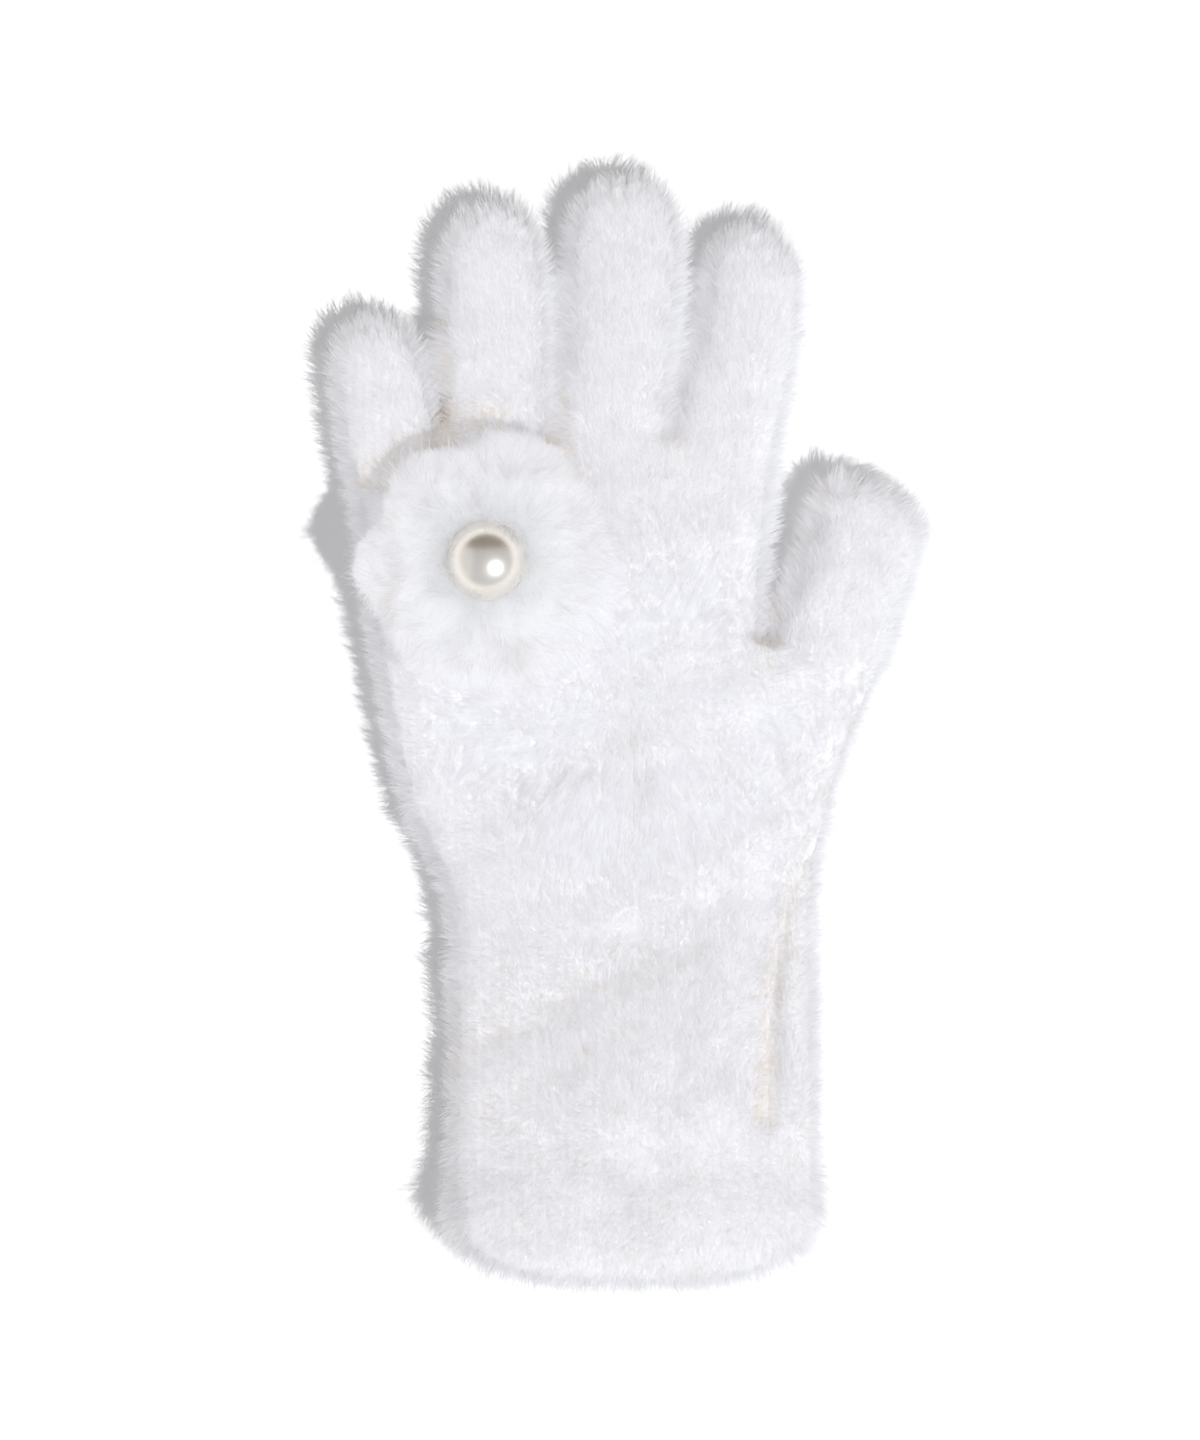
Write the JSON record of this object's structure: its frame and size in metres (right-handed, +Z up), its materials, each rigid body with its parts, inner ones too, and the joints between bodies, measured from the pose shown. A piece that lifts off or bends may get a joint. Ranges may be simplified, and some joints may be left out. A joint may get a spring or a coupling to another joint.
{
  "type": "knit glove",
  "caption": "Fluffy long-haired knit glove for the left hand, hollow, with a fur flower and a pearl bead sewn on the back.",
  "frame": {"origin": "on the surface that the glove lies on, under the middle of its outline", "axes": "+X to the thumb side, +Y to the fingertips, +Z up out of the back of the hand; the palm side lies down"},
  "size_m": [0.1272, 0.2416, 0.0336],
  "materials": {
    "knit": "soft white knit with a long brushed pile, faintly lilac in the light and warmer in the folds",
    "fur": "longer silky white fur, combed outwards from the bead",
    "pearl": "ivory pearl lustre, glossy"
  },
  "bodies": {
    "root": {"cuff_hem": "knit", "wrist": "knit", "hand": "knit", "little_finger": "knit", "ring_finger": "knit", "middle_finger": "knit", "index_finger": "knit", "thumb": "knit", "flower_petal_1": "fur", "flower_petal_2": "fur", "flower_petal_3": "fur", "flower_petal_4": "fur", "flower_petal_5": "fur", "pearl_bead": "pearl"}
  },
  "joints": []
}
